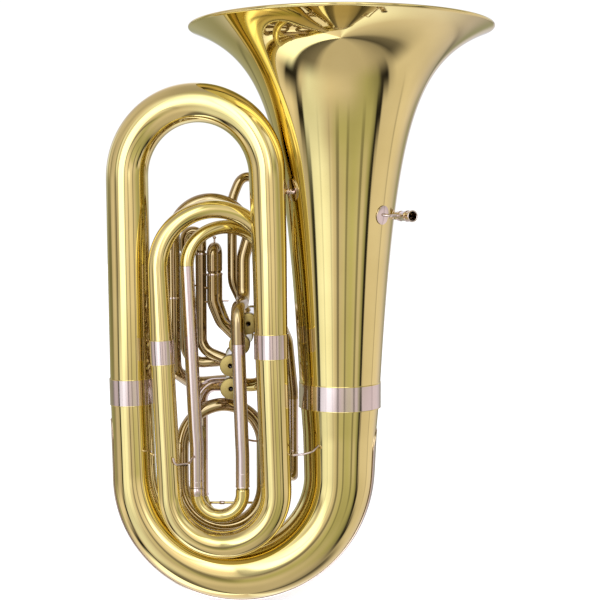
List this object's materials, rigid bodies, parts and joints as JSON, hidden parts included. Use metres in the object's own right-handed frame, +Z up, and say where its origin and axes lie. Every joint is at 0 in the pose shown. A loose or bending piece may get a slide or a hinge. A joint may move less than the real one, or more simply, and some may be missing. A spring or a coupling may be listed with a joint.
{
  "type": "tuba",
  "caption": "Upright brass contrabass tuba with a wide vertical bell, nested bows, front-action piston valves and pull slides.",
  "frame": {"origin": "bottom centre of the bounding box, under the lowest bow", "axes": "+Z up along the bell's axis, towards the rim; -Y towards the player; +X to the right as the player sees the bell side"},
  "size_m": [0.6464, 0.508, 0.9738],
  "materials": {
    "lacquered_brass": "polished and lacquered",
    "nickel_silver": "polished nickel silver under lacquer",
    "cap_brass": "satin turned brass",
    "spring_steel": "drawn wire",
    "pearl": "mother-of-pearl style disc"
  },
  "bodies": {
    "horn": {"bell": "lacquered_brass", "bell_ferrule": "nickel_silver", "bottom_bow": "lacquered_brass", "bottom_bow_guard": "nickel_silver", "outer_ferrule": "nickel_silver", "top_bow": "lacquered_brass", "second_ferrule": "nickel_silver", "second_bottom_bow": "lacquered_brass", "third_ferrule": "nickel_silver", "second_top_bow": "lacquered_brass", "fourth_ferrule": "nickel_silver", "third_bottom_bow": "lacquered_brass", "tuning_arch": "lacquered_brass", "main_slide_sleeve_right": "nickel_silver", "main_slide_sleeve_left": "nickel_silver", "first_valve_tubes": "nickel_silver", "second_valve_tubes": "lacquered_brass", "third_valve_tubes": "lacquered_brass", "fourth_circuit_entry": "lacquered_brass", "fourth_circuit_return": "lacquered_brass", "fourth_sleeve_left": "nickel_silver", "fourth_sleeve_right": "nickel_silver", "leadpipe": "lacquered_brass", "mouthpiece_receiver": "nickel_silver", "receiver_brace": "nickel_silver", "bell_brace_upper": "nickel_silver", "bell_brace_lower": "nickel_silver", "left_brace": "nickel_silver", "slide_brace": "nickel_silver", "inner_brace": "nickel_silver", "valve_casing_1": "lacquered_brass", "bottom_cap_1": "cap_brass", "top_cap_1": "cap_brass", "valve_spring_1": "spring_steel", "valve_casing_2": "lacquered_brass", "bottom_cap_2": "cap_brass", "top_cap_2": "cap_brass", "valve_spring_2": "spring_steel", "valve_casing_3": "lacquered_brass", "bottom_cap_3": "cap_brass", "top_cap_3": "cap_brass", "valve_spring_3": "spring_steel", "valve_casing_4": "lacquered_brass", "bottom_cap_4": "cap_brass", "top_cap_4": "cap_brass", "valve_spring_4": "spring_steel"},
    "main_tuning_slide": {"main_tuning_slide": "lacquered_brass"},
    "water_key": {"water_key": "nickel_silver"},
    "first_valve_slide": {"first_valve_slide": "lacquered_brass"},
    "second_valve_slide": {"second_valve_slide": "lacquered_brass"},
    "third_valve_slide": {"third_valve_slide": "lacquered_brass"},
    "fourth_valve_slide": {"fourth_valve_slide": "lacquered_brass"},
    "piston_1": {"piston_1": "nickel_silver", "finger_button_1": "pearl"},
    "piston_2": {"piston_2": "nickel_silver", "finger_button_2": "pearl"},
    "piston_3": {"piston_3": "nickel_silver", "finger_button_3": "pearl"},
    "piston_4": {"piston_4": "nickel_silver", "finger_button_4": "pearl"}
  },
  "joints": [
    {"name": "valve_1", "type": "slide", "parent": "horn", "child": "piston_1", "axis": [0, -1, 0], "range_m": [0, 0.018], "stiffness_N_per_m": 150, "springref_m": -0.03, "deforming": ["valve_spring_1"]},
    {"name": "valve_2", "type": "slide", "parent": "horn", "child": "piston_2", "axis": [0, -1, 0], "range_m": [0, 0.018], "stiffness_N_per_m": 150, "springref_m": -0.03, "deforming": ["valve_spring_2"]},
    {"name": "valve_3", "type": "slide", "parent": "horn", "child": "piston_3", "axis": [0, -1, 0], "range_m": [0, 0.018], "stiffness_N_per_m": 150, "springref_m": -0.03, "deforming": ["valve_spring_3"]},
    {"name": "valve_4", "type": "slide", "parent": "horn", "child": "piston_4", "axis": [0, -1, 0], "range_m": [0, 0.018], "stiffness_N_per_m": 150, "springref_m": -0.03, "deforming": ["valve_spring_4"]},
    {"name": "main_tuning_slide_pull", "type": "slide", "parent": "horn", "child": "main_tuning_slide", "axis": [0, 0, -1], "range_m": [0, 0.06]},
    {"name": "first_valve_slide_pull", "type": "slide", "parent": "horn", "child": "first_valve_slide", "axis": [0, 0, -1], "range_m": [0, 0.035]},
    {"name": "second_valve_slide_pull", "type": "slide", "parent": "horn", "child": "second_valve_slide", "axis": [0, 0, 1], "range_m": [0, 0.035]},
    {"name": "third_valve_slide_pull", "type": "slide", "parent": "horn", "child": "third_valve_slide", "axis": [0, 0, 1], "range_m": [0, 0.035]},
    {"name": "fourth_valve_slide_pull", "type": "slide", "parent": "horn", "child": "fourth_valve_slide", "axis": [0, 0, -1], "range_m": [0, 0.018]},
    {"name": "water_key_hinge", "type": "hinge", "parent": "main_tuning_slide", "child": "water_key", "pos_m": [-0.1195, 0.0745, 0.1178], "axis": [1, 0, 0], "range_deg": [0, 18], "stiffness_Nm_per_rad": 0.02, "springref_deg": -20.05}
  ]
}
